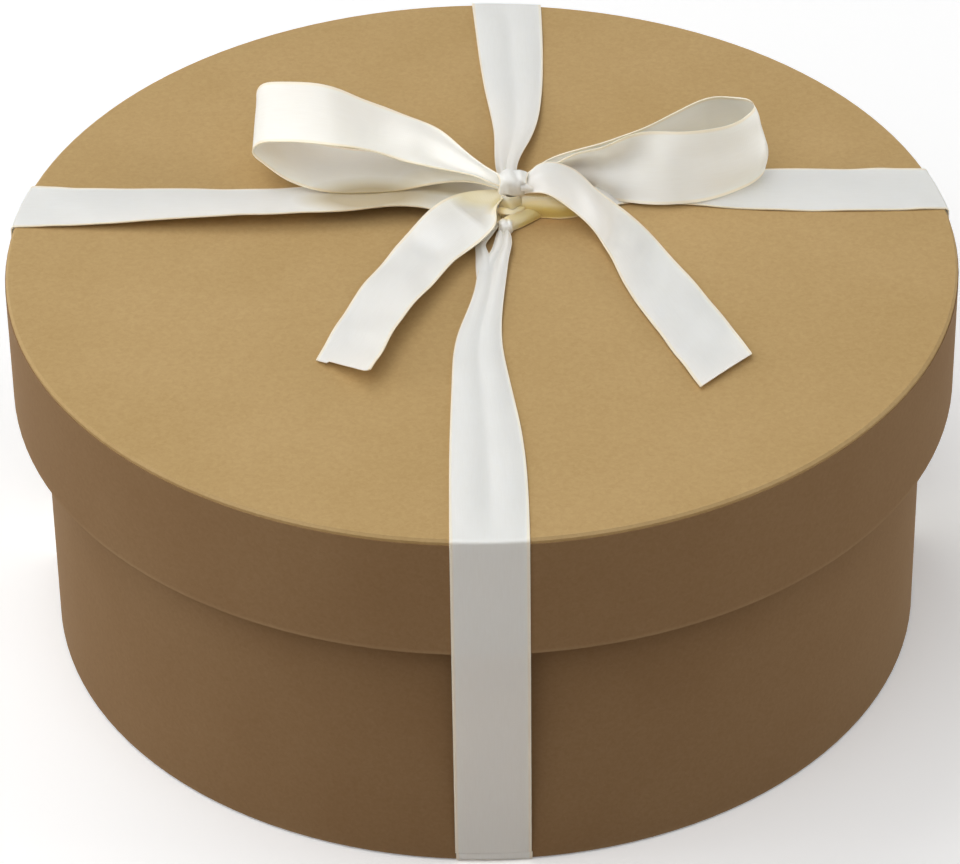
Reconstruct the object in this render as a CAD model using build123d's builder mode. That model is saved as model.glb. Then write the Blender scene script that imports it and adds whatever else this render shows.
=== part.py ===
import os
from math import atan2, degrees, hypot, pi, sqrt

from build123d import *

# A round gift box with a deep lift-off lid, tied with a satin ribbon and a bow.
# Millimetres. The origin is the middle of the underside, +Z is up and -Y is the front.

# Driving dimensions of the box
base_diameter = 300.0
rim_clearance = 6.3
total_height = 140.0
rim_depth = 45.0
wall_board = 2.5
floor_board = 2.5
top_board = 2.5

# Papers that cover and line the boards
wrap_paper = 0.3
lining_paper = 0.3
turn_in = 15.0
turn_under = 12.0
top_skirt = 12.0
lap_width = 10.0
lap_angle = 112.0
lining_setback = 4.0
underside_setback = 2.0
skirt_reveal = 1.0
paper_edge_bevel = 0.8
board_seam = 0.4

# Ribbon
ribbon_width = 25.0
ribbon_thickness = 0.5
ribbon_ease = 0.3
ribbon_bend = 0.8
turn_up = 3.0
split_gap = 0.3

# Where the ribbon crosses the lid's edge, and where the knot stands on the lid
front_x = 1.2
back_x = 10.4
left_y = 30.5
right_y = 33.8
knot_x = 11.0
knot_y = 22.0

# The knot, and the twist of ribbon that it stands on
knot_length = 10.5
knot_depth = 8.0
knot_height = 9.0
crossing_x = 8.5
crossing_y = 13.0
crossing_width = 15.0
crossing_length = 28.0
crossing_height = 7.2
corner_share = 0.55

# Bow
bow_height = 28.0
left_loop_reach = 89.6
right_loop_reach = 86.0
left_tail_reach = 101.0
left_tail_swing = 65.0
right_tail_reach = 104.0
right_tail_swing = 76.5
loop_steps = 44
tail_steps = 20

# Worked out from the sizes above
base_radius = base_diameter / 2
wall_outer = base_radius - wrap_paper
wall_inner = wall_outer - wall_board
wall_fold_inner = wall_inner - wrap_paper
wall_lining_inner = wall_fold_inner - lining_paper
under_lap = base_radius - turn_under

rim_lining_inner = base_radius + rim_clearance
rim_fold_inner = rim_lining_inner + lining_paper
rim_board_inner = rim_fold_inner + wrap_paper
rim_board_outer = rim_board_inner + wall_board
rim_wrap_inner = rim_board_outer + wrap_paper
lid_radius = rim_wrap_inner + wrap_paper
board_edge_bevel = paper_edge_bevel - wrap_paper * (2 - sqrt(2))

underside = ribbon_thickness
wrap_bottom = underside + wrap_paper
board_bottom = wrap_bottom + wrap_paper
floor_top = board_bottom + floor_board
lid_top = total_height
top_board_top = lid_top - wrap_paper
top_board_bottom = top_board_top - top_board
base_top = top_board_bottom - lining_paper
rim_bottom = lid_top - rim_depth
rim_wrap_top = lid_top - paper_edge_bevel - skirt_reveal

drop_inner_top = lid_radius + ribbon_ease
drop_inner_bottom = base_radius + ribbon_ease
drop_bottom = ribbon_thickness + turn_up + split_gap

# Boards are butted and papers lapped at this plane, which hangs from the axis at the back
seam_plane = Plane.XZ.rotated((0, 0, lap_angle))


def ring_outline(inner, outer, low, high):
    """Half section of a plain ring."""
    Polyline((inner, low), (outer, low), (outer, high), (inner, high), close=True)


def lap_strip(outer, low, high):
    """The overlapping end of a wrapped paper, one paper thickness proud of it."""
    with BuildSketch(seam_plane) as section:
        with BuildLine():
            ring_outline(outer, outer + wrap_paper, low, high)
        make_face()
    return revolve(section.sketch, Axis.Z, degrees(lap_width / outer))


def butted_arc(outer):
    """How far round a board goes before its ends meet, less the seam between them."""
    return degrees(2 * pi - board_seam / outer)


# Base: a tube of grey board, butted at the back, with its floor inside it
with BuildPart() as base_wall_board:
    with BuildSketch(seam_plane):
        with BuildLine():
            ring_outline(wall_inner, wall_outer, board_bottom, base_top - wrap_paper)
        make_face()
    revolve(axis=Axis.Z, revolution_arc=butted_arc(wall_outer))

with BuildPart() as base_floor_board:
    with BuildSketch(Plane.XY.offset(board_bottom)):
        Circle(wall_inner)
    extrude(amount=floor_board)

# The outside paper is turned in over the top edge and under the bottom edge
with BuildPart() as base_wrap_paper:
    with BuildSketch(seam_plane):
        with BuildLine():
            Polyline(
                (under_lap, wrap_bottom),
                (base_radius, wrap_bottom),
                (base_radius, base_top),
                (wall_fold_inner, base_top),
                (wall_fold_inner, base_top - turn_in),
                (wall_inner, base_top - turn_in),
                (wall_inner, base_top - wrap_paper),
                (wall_outer, base_top - wrap_paper),
                (wall_outer, board_bottom),
                (under_lap, board_bottom),
                close=True,
            )
        make_face()
    revolve(axis=Axis.Z)
    add(lap_strip(base_radius, wrap_bottom, base_top - lining_setback))

# The wall's lining lies over the turned-in edge of the outside paper
with BuildPart() as base_wall_lining:
    with BuildSketch(seam_plane):
        with BuildLine():
            ring_outline(wall_lining_inner, wall_fold_inner, floor_top, base_top - lining_setback)
        make_face()
    revolve(axis=Axis.Z)

with BuildPart() as base_floor_lining:
    with BuildSketch(Plane.XY.offset(floor_top)):
        Circle(wall_lining_inner)
    extrude(amount=lining_paper)

# The underside paper steps down over the turned edge of the outside paper
with BuildPart() as base_underside_paper:
    with BuildSketch(seam_plane):
        with BuildLine():
            Polyline(
                (0, wrap_bottom),
                (under_lap - wrap_paper, wrap_bottom),
                (under_lap - wrap_paper, underside),
                (base_radius - underside_setback, underside),
                (base_radius - underside_setback, wrap_bottom),
                (under_lap, wrap_bottom),
                (under_lap, board_bottom),
                (0, board_bottom),
                close=True,
            )
        make_face()
    revolve(axis=Axis.Z)

# Lid: a disc of grey board inside a deep rim of the same board
with BuildPart() as lid_top_board:
    with BuildSketch(Plane.XY.offset(top_board_bottom)):
        Circle(rim_board_inner)
    extrude(amount=top_board)

with BuildPart() as lid_rim_board:
    with BuildSketch(seam_plane) as section:
        with BuildLine():
            ring_outline(rim_board_inner, rim_board_outer, rim_bottom + wrap_paper, top_board_top)
        make_face()
        outer_corner = section.vertices().sort_by_distance((rim_board_outer, top_board_top))[0]
        chamfer(outer_corner, board_edge_bevel)
    revolve(axis=Axis.Z, revolution_arc=butted_arc(rim_board_outer))

# The top paper is one disc, folded down over the rim all round
with BuildPart() as lid_top_paper:
    with BuildSketch(seam_plane) as section:
        with BuildLine():
            Polyline(
                (0, top_board_top),
                (rim_board_outer, top_board_top),
                (rim_board_outer, lid_top - top_skirt),
                (rim_wrap_inner, lid_top - top_skirt),
                (rim_wrap_inner, lid_top),
                (0, lid_top),
                close=True,
            )
        make_face()
        outer_corner = section.vertices().sort_by_distance((rim_wrap_inner, lid_top))[0]
        inner_corner = section.vertices().sort_by_distance((rim_board_outer, top_board_top))[0]
        chamfer(outer_corner, paper_edge_bevel)
        chamfer(inner_corner, board_edge_bevel)
    revolve(axis=Axis.Z)

# The rim's own strip of paper starts just under the top edge and is turned in below
with BuildPart() as lid_rim_wrap:
    with BuildSketch(seam_plane):
        with BuildLine():
            Polyline(
                (lid_radius, rim_bottom),
                (lid_radius, rim_wrap_top),
                (rim_wrap_inner, rim_wrap_top),
                (rim_wrap_inner, rim_bottom + wrap_paper),
                (rim_board_inner, rim_bottom + wrap_paper),
                (rim_board_inner, rim_bottom + turn_in),
                (rim_fold_inner, rim_bottom + turn_in),
                (rim_fold_inner, rim_bottom),
                close=True,
            )
        make_face()
    revolve(axis=Axis.Z)
    add(lap_strip(lid_radius, rim_bottom, rim_wrap_top))

with BuildPart() as lid_rim_lining:
    with BuildSketch(seam_plane):
        with BuildLine():
            ring_outline(rim_lining_inner, rim_fold_inner, rim_bottom + lining_setback, top_board_bottom)
        make_face()
    revolve(axis=Axis.Z)

with BuildPart() as lid_top_lining:
    with BuildSketch(Plane.XY.offset(base_top)):
        Circle(rim_lining_inner)
    extrude(amount=lining_paper)


# Ribbon round the box. Seen from above, each way across is one straight strip.
front_edge = (front_x, -lid_radius)
back_edge = (back_x, lid_radius)
left_edge = (-lid_radius, left_y)
right_edge = (lid_radius, right_y)


def halfway(start, end):
    """The middle of two places seen from above."""
    return ((start[0] + end[0]) / 2, (start[1] + end[1]) / 2)


def strip_outline(start, end, mode=Mode.ADD):
    """The strip of ribbon from start to end, seen from above, running past both."""
    run_x = end[0] - start[0]
    run_y = end[1] - start[1]
    with Locations(Location(halfway(start, end), degrees(atan2(run_y, run_x)))):
        Rectangle(hypot(run_x, run_y) + ribbon_width, ribbon_width, mode=mode)


def under_ribbon(strip, crossing_strip, halved_from):
    """The ribbon under the base: turned up at both ends, and half as thick where the two cross."""
    outer_radius = drop_inner_bottom + ribbon_thickness
    with BuildPart() as under:
        with BuildSketch(Plane.XY):
            strip_outline(*strip)
            Circle(outer_radius, mode=Mode.INTERSECT)
        extrude(amount=ribbon_thickness + turn_up)
        fillet(under.edges().filter_by(GeomType.CIRCLE).group_by(Axis.Z)[0], ribbon_bend)
        with BuildSketch(Plane.XY.offset(ribbon_thickness)):
            Circle(drop_inner_bottom)
        extrude(amount=turn_up, mode=Mode.SUBTRACT)
        with BuildSketch(Plane.XY.offset(halved_from)):
            strip_outline(*strip)
            strip_outline(*crossing_strip, mode=Mode.INTERSECT)
        extrude(amount=ribbon_thickness / 2, mode=Mode.SUBTRACT)
    return under.part


def ribbon_drop(edge, far_edge):
    """The ribbon from the lid's top edge, down the rim and straight in to the foot of the base."""
    bend_start = drop_inner_top - ribbon_bend
    bend_end = lid_top - ribbon_bend
    with BuildPart() as drop:
        with BuildSketch(Plane.XZ):
            with BuildLine():
                TangentArc((bend_start, lid_top), (drop_inner_top, bend_end), tangent=(1, 0))
                Polyline(
                    (drop_inner_top, bend_end),
                    (drop_inner_top, rim_bottom),
                    (drop_inner_bottom, drop_bottom),
                    (drop_inner_bottom + ribbon_thickness, drop_bottom),
                    (drop_inner_top + ribbon_thickness, rim_bottom),
                    (drop_inner_top + ribbon_thickness, bend_end),
                )
                TangentArc(
                    (bend_start, lid_top + ribbon_thickness),
                    (drop_inner_top + ribbon_thickness, bend_end),
                    tangent=(1, 0),
                )
                Line((bend_start, lid_top + ribbon_thickness), (bend_start, lid_top))
            make_face()
        revolve(axis=Axis.Z)
        with BuildSketch(Plane.XY):
            strip_outline(halfway(edge, far_edge), edge)
        extrude(amount=total_height + ribbon_thickness, mode=Mode.INTERSECT)
        add(drop.solids().sort_by_distance(Vector(*edge))[0], mode=Mode.REPLACE)
    return drop.part


def facet(*corners):
    """One flat face."""
    return Face(Wire.make_polygon(corners))


def facet_solid(rings):
    """A solid with flat facets between rings of corners, all the same way round.

    The facets of the two halves of a ring are cut alike, so a thin solid keeps its thickness.
    """
    facets = [facet(*reversed(rings[0])), facet(*rings[-1])]
    for near, far in zip(rings, rings[1:]):
        for index in range(len(near)):
            first, second, third, fourth = near[index - 1], near[index], far[index], far[index - 1]
            if index > len(near) // 2:
                first, second, third, fourth = second, third, fourth, first
            facets.append(facet(first, second, third))
            facets.append(facet(first, third, fourth))
    return Solid(Shell(facets))


def ribbon_rings(edge_pairs):
    """The four corners of a cut across the ribbon, at each pair of places on its two edges."""
    middles = [(one + other) / 2 for one, other in edge_pairs]
    last = len(middles) - 1
    rings = []
    for index, (one, other) in enumerate(edge_pairs):
        ahead = middles[min(index + 1, last)] - middles[max(index - 1, 0)]
        outward = ahead.cross(other - one).normalized() * (ribbon_thickness / 2)
        rings.append((one - outward, other - outward, other + outward, one + outward))
    return rings


def eight_corners(middle, half_width, half_length, corner_share):
    """An oblong with its corners cut off."""
    cut_share = 1 - corner_share
    quarter = ((1, -cut_share), (1, cut_share), (cut_share, 1), (-cut_share, 1))
    round_shares = quarter + tuple((-x_share, -y_share) for x_share, y_share in quarter)
    return [middle + half_width * x_share + half_length * y_share for x_share, y_share in round_shares]


# Knot: the ribbon's wrap, a barrel along X that swells and draws in with its pleats
knot_z = lid_top + crossing_height - ribbon_thickness + knot_height / 2
knot_place_shares = (-0.5, -0.38, -0.2, -0.04, 0.14, 0.36, 0.5)
knot_swell_shares = (0.8, 1.0, 0.92, 1.0, 0.93, 1.0, 0.78)

knot_rings = []
for place_share, swell_share in zip(knot_place_shares, knot_swell_shares):
    middle = Vector(knot_x + place_share * knot_length, knot_y, knot_z)
    half_depth = Vector(0, knot_depth / 2 * swell_share, 0)
    half_height = Vector(0, 0, knot_height / 2 * swell_share)
    knot_rings.append(eight_corners(middle, half_depth, half_height, corner_share))

with BuildPart() as bow_knot:
    add(facet_solid(knot_rings))

# Crossing: where the two ways across are twisted round each other, drawn up to the knot
crossing_shares = (
    (0.0, 1.0, 1.0, 0.0), (0.3, 0.96, 0.92, 0.12), (0.6, 0.84, 0.74, 0.36), (1.0, 0.55, 0.33, 0.85)
)
crossing_rings = []
for height_share, width_share, length_share, lean_share in crossing_shares:
    middle = Vector(
        crossing_x + (knot_x - crossing_x) * lean_share,
        crossing_y + (knot_y - crossing_y) * lean_share,
        lid_top + crossing_height * height_share,
    )
    half_width = Vector(crossing_width / 2 * width_share, 0, 0)
    half_length = Vector(0, crossing_length / 2 * length_share, 0)
    crossing_rings.append(eight_corners(middle, half_width, half_length, corner_share))

with BuildPart() as ribbon_crossing:
    add(facet_solid(crossing_rings))
    add(bow_knot.part, mode=Mode.SUBTRACT)

# Bands on the lid. A row is the way from the lid's edge to the crossing, then for each edge
# of the ribbon how far it lies to the side, in ribbon widths, and how high, in bow heights.
front_band_shares = (
    (0.0, -0.5, 0.0, 0.5, 0.0),
    (0.32, -0.58, 0.0, 0.34, 0.0),
    (0.49, -0.6, 0.0, 0.15, 0.0),
    (0.63, -0.57, 0.01, 0.02, 0.01),
    (0.78, -0.4, 0.03, 0.02, 0.03),
    (0.96, -0.15, 0.08, 0.11, 0.08),
)
back_band_shares = (
    (0.0, -0.5, 0.0, 0.5, 0.0),
    (0.27, -0.38, 0.0, 0.52, 0.0),
    (0.46, -0.27, 0.03, 0.49, 0.03),
    (0.63, -0.17, 0.1, 0.37, 0.1),
    (0.79, -0.15, 0.2, 0.16, 0.2),
    (0.92, -0.06, 0.15, 0.16, 0.15),
)
left_band_shares = (
    (0.0, -0.5, 0.0, 0.5, 0.0),
    (0.29, -0.32, 0.14, 0.58, 0.01),
    (0.48, -0.28, 0.19, 0.58, 0.015),
    (0.68, -0.06, 0.17, 0.57, 0.03),
    (0.85, 0.02, 0.12, 0.46, 0.06),
    (0.98, -0.17, 0.08, 0.19, 0.08),
)
right_band_shares = (
    (0.0, -0.5, 0.0, 0.5, 0.0),
    (0.41, -0.13, 0.0, 0.87, 0.0),
    (0.58, 0.1, 0.0, 1.04, 0.0),
    (0.74, 0.12, 0.01, 0.94, 0.01),
    (0.85, 0.03, 0.06, 0.55, 0.03),
    (0.97, -0.24, 0.08, 0.18, 0.08),
)


def ribbon_band(edge, sideways, shares):
    """The ribbon across the lid's top, from the lid's edge to the crossing under the knot."""
    start = Vector(*edge, lid_top + ribbon_thickness / 2)
    end = Vector(crossing_x, crossing_y, lid_top + ribbon_thickness / 2)
    edge_pairs = []
    for along_share, one_share, one_lift_share, other_share, other_lift_share in shares:
        middle = start + (end - start) * along_share
        one = middle + sideways * (one_share * ribbon_width)
        other = middle + sideways * (other_share * ribbon_width)
        rise = Vector(0, 0, bow_height)
        edge_pairs.append((one + rise * one_lift_share, other + rise * other_lift_share))
    with BuildPart() as band:
        add(facet_solid(ribbon_rings(edge_pairs)))
        with BuildSketch(Plane.XY.offset(lid_top)):
            Circle(drop_inner_top - ribbon_bend)
        extrude(amount=bow_height, mode=Mode.INTERSECT)
        add(ribbon_crossing.part, mode=Mode.SUBTRACT)
        add(bow_knot.part, mode=Mode.SUBTRACT)
    return band.part


# Bow. Each table gives places along the ribbon, one on each of its edges: first in shares of
# the knot's sizes where the ribbon leaves it, and then, from the knot's place on the lid, in
# shares of the reach and the ribbon's width (a tail: of its swing and its reach) and bow_height.
left_loop_root_shares = (
    ((-0.29, -0.25, 0.155), (-0.29, 0.29, 0.3)),
    ((-0.29, -0.25, -0.045), (-0.29, 0.29, 0.0)),
)
left_loop_shares = (
    ((-0.26, 0.2, 0.43), (-0.26, 0.96, 0.57)),
    ((-0.41, 0.42, 0.54), (-0.41, 1.42, 0.62)),
    ((-0.57, 0.52, 0.67), (-0.57, 1.5, 0.84)),
    ((-0.68, 0.54, 0.71), (-0.66, 1.48, 1.0)),
    ((-0.8, 0.62, 0.72), (-0.78, 1.54, 1.06)),
    ((-0.9, 0.69, 0.69), (-0.9, 1.61, 1.04)),
    ((-0.97, 0.76, 0.61), (-0.96, 1.7, 0.93)),
    ((-0.99, 0.78, 0.5), (-0.975, 1.72, 0.76)),
    ((-0.95, 0.74, 0.36), (-0.95, 1.7, 0.57)),
    ((-0.88, 0.6, 0.25), (-0.88, 1.58, 0.41)),
    ((-0.8, 0.47, 0.18), (-0.79, 1.46, 0.29)),
    ((-0.69, 0.37, 0.15), (-0.68, 1.36, 0.23)),
    ((-0.57, 0.31, 0.15), (-0.56, 1.31, 0.2)),
    ((-0.46, 0.33, 0.165), (-0.45, 1.33, 0.19)),
    ((-0.34, 0.38, 0.21), (-0.33, 1.24, 0.23)),
    ((-0.17, 0.24, 0.33), (-0.16, 0.8, 0.34)),
)

right_loop_root_shares = (
    ((0.29, -0.025, -0.13), (0.29, 0.025, 0.27)),
    ((0.29, 0.225, -0.13), (0.29, 0.24, 0.25)),
)
right_loop_shares = (
    ((0.105, 0.16, 0.29), (0.105, 0.2, 0.46)),
    ((0.19, 0.38, 0.14), (0.19, 0.34, 0.46)),
    ((0.27, 0.47, 0.07), (0.265, 0.32, 0.54)),
    ((0.35, 0.42, 0.05), (0.345, 0.2, 0.65)),
    ((0.43, 0.27, 0.05), (0.43, 0.12, 0.79)),
    ((0.51, 0.15, 0.055), (0.51, 0.14, 0.875)),
    ((0.66, 0.11, 0.055), (0.66, 0.28, 0.93)),
    ((0.78, 0.2, 0.055), (0.775, 0.34, 0.95)),
    ((0.9, 0.42, 0.07), (0.88, 0.52, 0.96)),
    ((0.97, 0.61, 0.1), (0.935, 0.74, 0.98)),
    ((1.0, 0.79, 0.13), (0.96, 0.92, 1.0)),
    ((0.98, 0.96, 0.125), (0.945, 1.03, 1.0)),
    ((0.92, 1.06, 0.11), (0.9, 1.11, 1.0)),
    ((0.82, 1.09, 0.1), (0.81, 1.15, 1.0)),
    ((0.73, 1.04, 0.09), (0.73, 1.09, 0.98)),
    ((0.64, 0.96, 0.07), (0.645, 0.96, 0.96)),
    ((0.51, 0.82, 0.055), (0.52, 0.68, 0.91)),
    ((0.38, 0.7, 0.055), (0.39, 0.46, 0.78)),
    ((0.27, 0.65, 0.11), (0.27, 0.45, 0.64)),
    ((0.15, 0.55, 0.21), (0.15, 0.47, 0.54)),
)

left_tail_root_share = ((-0.29, -0.31, -0.245), (-0.29, 0.25, -0.27))
left_tail_shares = (
    ((-0.09, -0.08, 0.285), (-0.185, 0.035, 0.27)),
    ((-0.09, -0.135, 0.23), (-0.33, 0.02, 0.21)),
    ((-0.135, -0.2, 0.18), (-0.43, -0.045, 0.2)),
    ((-0.23, -0.28, 0.16), (-0.55, -0.145, 0.11)),
    ((-0.425, -0.495, 0.22), (-0.72, -0.355, 0.04)),
    ((-0.585, -0.72, 0.25), (-0.88, -0.59, 0.03)),
    ((-0.665, -0.87, 0.26), (-0.95, -0.73, 0.025)),
    ((-0.735, -1.0, 0.26), (-1.0, -0.83, 0.025)),
)

right_tail_root_share = ((0.29, -0.34, -0.13), (0.29, -0.21, 0.27))
right_tail_shares = (
    ((0.14, -0.03, 0.36), (0.148, 0.064, 0.61)),
    ((0.215, -0.06, 0.285), (0.27, 0.06, 0.5)),
    ((0.285, -0.115, 0.25), (0.36, 0.02, 0.32)),
    ((0.37, -0.205, 0.18), (0.485, -0.015, 0.1)),
    ((0.465, -0.415, 0.07), (0.66, -0.22, 0.025)),
    ((0.575, -0.635, 0.055), (0.82, -0.48, 0.025)),
    ((0.675, -0.82, 0.045), (0.92, -0.66, 0.03)),
    ((0.77, -1.0, 0.06), (1.0, -0.83, 0.07)),
)


def knot_place(share):
    """A place in the knot."""
    x_share, y_share, z_share = share
    return Vector(
        knot_x + x_share * knot_length, knot_y + y_share * knot_depth, knot_z + z_share * knot_height
    )


def bow_place(share, x_size, y_size):
    """A place on the bow, from the knot's place on the lid."""
    x_share, y_share, z_share = share
    return Vector(knot_x + x_share * x_size, knot_y + y_share * y_size, lid_top + z_share * bow_height)


def root_pair(shares):
    """The two edges of the ribbon where it leaves the knot."""
    return (knot_place(shares[0]), knot_place(shares[1]))


def bow_pairs(shares, x_size, y_size):
    """The two edges of the ribbon at each place of a loop or tail."""
    return [(bow_place(one, x_size, y_size), bow_place(other, x_size, y_size)) for one, other in shares]


def smooth_pairs(edge_pairs, steps):
    """Places on two smooth edges, each edge a curve through the places given for it."""
    one_curve = Spline(*[one for one, other in edge_pairs])
    other_curve = Spline(*[other for one, other in edge_pairs])
    return [(one_curve @ (step / steps), other_curve @ (step / steps)) for step in range(steps + 1)]


def bow_ribbon(edge_pairs, steps):
    """A loop or a tail, cut off where it meets the knot."""
    with BuildPart() as ribbon:
        add(facet_solid(ribbon_rings(smooth_pairs(edge_pairs, steps))))
        add(bow_knot.part, mode=Mode.SUBTRACT)
    return ribbon.part


def bow_loop(root_shares, shares, reach):
    """A loop leaves the knot and comes back to it."""
    edge_pairs = bow_pairs(shares, reach, ribbon_width)
    edge_pairs = [root_pair(root_shares[0])] + edge_pairs + [root_pair(root_shares[1])]
    return bow_ribbon(edge_pairs, loop_steps)


def bow_tail(root_share, shares, swing, reach):
    """A tail leaves the knot and ends on the lid, cut square."""
    edge_pairs = [root_pair(root_share)] + bow_pairs(shares, swing, reach)
    return bow_ribbon(edge_pairs, tail_steps)


front_back_strip = (front_edge, back_edge)
left_right_strip = (left_edge, right_edge)

pieces = {
    "base_wall_board": base_wall_board.part,
    "base_floor_board": base_floor_board.part,
    "base_wrap_paper": base_wrap_paper.part,
    "base_underside_paper": base_underside_paper.part,
    "base_wall_lining": base_wall_lining.part,
    "base_floor_lining": base_floor_lining.part,
    "ribbon_under_front_back": under_ribbon(front_back_strip, left_right_strip, ribbon_thickness / 2),
    "ribbon_under_left_right": under_ribbon(left_right_strip, front_back_strip, 0),
    "lid_top_board": lid_top_board.part,
    "lid_rim_board": lid_rim_board.part,
    "lid_top_paper": lid_top_paper.part,
    "lid_rim_wrap": lid_rim_wrap.part,
    "lid_rim_lining": lid_rim_lining.part,
    "lid_top_lining": lid_top_lining.part,
    "ribbon_front_band": ribbon_band(front_edge, Vector(1, 0, 0), front_band_shares),
    "ribbon_back_band": ribbon_band(back_edge, Vector(1, 0, 0), back_band_shares),
    "ribbon_left_band": ribbon_band(left_edge, Vector(0, 1, 0), left_band_shares),
    "ribbon_right_band": ribbon_band(right_edge, Vector(0, 1, 0), right_band_shares),
    "ribbon_front_drop": ribbon_drop(front_edge, back_edge),
    "ribbon_back_drop": ribbon_drop(back_edge, front_edge),
    "ribbon_left_drop": ribbon_drop(left_edge, right_edge),
    "ribbon_right_drop": ribbon_drop(right_edge, left_edge),
    "ribbon_crossing": ribbon_crossing.part,
    "bow_knot": bow_knot.part,
    "bow_left_loop": bow_loop(left_loop_root_shares, left_loop_shares, left_loop_reach),
    "bow_right_loop": bow_loop(right_loop_root_shares, right_loop_shares, right_loop_reach),
    "bow_left_tail": bow_tail(
        left_tail_root_share, left_tail_shares, left_tail_swing, left_tail_reach
    ),
    "bow_right_tail": bow_tail(
        right_tail_root_share, right_tail_shares, right_tail_swing, right_tail_reach
    ),
}

os.makedirs("parts", exist_ok=True)
for name, piece in pieces.items():
    piece.label = name
    export_step(piece, f"parts/{name}.step")
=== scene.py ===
# %% [markdown]
# # A round gift box tied with satin ribbon
# The box is built already: its boards and papers come in as solids that never move here.
# What is left for Blender is what the eye judges first, the finish of the paper and the
# ribbon, which is soft, gathered and pleated, and so is made here as fresh meshes.

# %% Load the box
from functools import partial
from math import cos, pi, radians, sin, sqrt

import bpy
import numpy as np
from mathutils import Matrix, Vector, noise


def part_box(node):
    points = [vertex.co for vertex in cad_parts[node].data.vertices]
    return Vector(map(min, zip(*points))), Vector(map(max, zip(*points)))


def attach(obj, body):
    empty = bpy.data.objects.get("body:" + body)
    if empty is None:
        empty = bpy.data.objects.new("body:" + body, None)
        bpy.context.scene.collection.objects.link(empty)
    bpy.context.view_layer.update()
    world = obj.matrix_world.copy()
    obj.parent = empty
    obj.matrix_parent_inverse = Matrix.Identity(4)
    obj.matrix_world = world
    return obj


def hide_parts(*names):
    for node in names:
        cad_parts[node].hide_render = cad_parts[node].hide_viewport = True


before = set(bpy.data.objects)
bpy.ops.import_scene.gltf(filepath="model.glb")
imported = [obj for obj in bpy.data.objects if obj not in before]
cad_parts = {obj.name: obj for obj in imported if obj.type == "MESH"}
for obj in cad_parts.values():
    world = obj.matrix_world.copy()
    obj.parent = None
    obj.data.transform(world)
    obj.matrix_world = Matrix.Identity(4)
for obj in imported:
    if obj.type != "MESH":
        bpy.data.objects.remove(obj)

scene = bpy.context.scene
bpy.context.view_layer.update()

# %% [markdown]
# ## Sizes
# Ribbon is bought and cut in millimetres, so the whole file thinks in millimetres and turns
# them to metres at the moment a mesh is made. The sizes of the box are read from the solids,
# so that the ribbon always lies on the paper that it is tied round.

# %% Read the sizes of the box
MM = 0.001


def node_box(name):
    """Lowest and highest corner of a solid, in millimetres."""
    low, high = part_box(name)
    return np.array(low) / MM, np.array(high) / MM


lid_top = node_box("lid_top_paper")[1][2]
lid_radius = node_box("lid_rim_wrap")[1][0]
rim_bottom = node_box("lid_rim_wrap")[0][2]
base_radius = node_box("base_wrap_paper")[1][0]
base_top = node_box("base_wrap_paper")[1][2]
drop_bottom = node_box("ribbon_front_drop")[0][2]
print(f"lid radius {lid_radius:.1f}, lid top {lid_top:.1f}, base radius {base_radius:.1f} mm")

# %% [markdown]
# ## Colours and nodes
# A colour picked from a swatch is an sRGB hex value, but shaders add up light, which needs
# linear numbers. One function does that conversion. Another adds a shader node, sets its
# options and joins its inputs, and so that the shader's own inputs can be set in the same
# way, that last step is a function too. Each material below then reads as a short recipe.

# %% Helpers for materials


def linear(hex_colour):
    """An sRGB hex colour as linear red, green, blue and alpha, by the sRGB formula."""
    channels = [int(hex_colour[place:place + 2], 16) / 255 for place in (1, 3, 5)]
    return [((c + 0.055) / 1.055) ** 2.4 if c > 0.04045 else c / 12.92 for c in channels] + [1.0]


def new_material(name):
    """An empty node material with a Principled shader joined to its output."""
    material = bpy.data.materials.new(name)
    material.use_nodes = True
    tree = material.node_tree
    tree.nodes.clear()
    output = tree.nodes.new("ShaderNodeOutputMaterial")
    shader = tree.nodes.new("ShaderNodeBsdfPrincipled")
    tree.links.new(shader.outputs["BSDF"], output.inputs["Surface"])
    return material, tree, shader


def set_inputs(tree, node, inputs):
    """Gives each input a value, or joins it to a socket or to the main output of a node."""
    for name, value in inputs.items():
        if isinstance(value, bpy.types.Node):
            value = next(output for output in value.outputs if output.enabled)
        if isinstance(value, bpy.types.NodeSocket):
            tree.links.new(value, node.inputs[name])
        else:
            node.inputs[name].default_value = value


def add_node(tree, kind, settings=None, inputs=None):
    """Adds a node: settings are its own options, inputs are values, sockets or other nodes."""
    node = tree.nodes.new(kind)
    for option, value in (settings or {}).items():
        setattr(node, option, value)
    set_inputs(tree, node, inputs or {})
    return node


print("kraft gold in linear light:", [round(c, 3) for c in linear("#c4a572")[:3]])

# %% [markdown]
# ## Kraft wrapping paper
# The box is covered in kraft paper, a strong uncoated paper of long wood fibres, printed a
# flat gold-brown. It has no gloss: it is matte, slightly cloudy where the fibres lie thicker,
# and flecked with single fibres two or three millimetres long. Where it is folded over an
# edge the surface is rubbed and turns a little paler. A picture of paper would repeat, so
# four noises do it here: one for the clouds, one for the felt of fibres, a ridged one, cut
# off high, that leaves thin curling lines like single fibres, and a fine one for the tooth
# that a finger feels.

# %% Kraft paper
CLOUD_MM = 55.0
FELT_MM = 1.6
FIBRE_MM = 2.6
TOOTH_MM = 0.5
RUB_CORE_MM = 0.5
RUB_REACH_MM = 1.6


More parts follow.
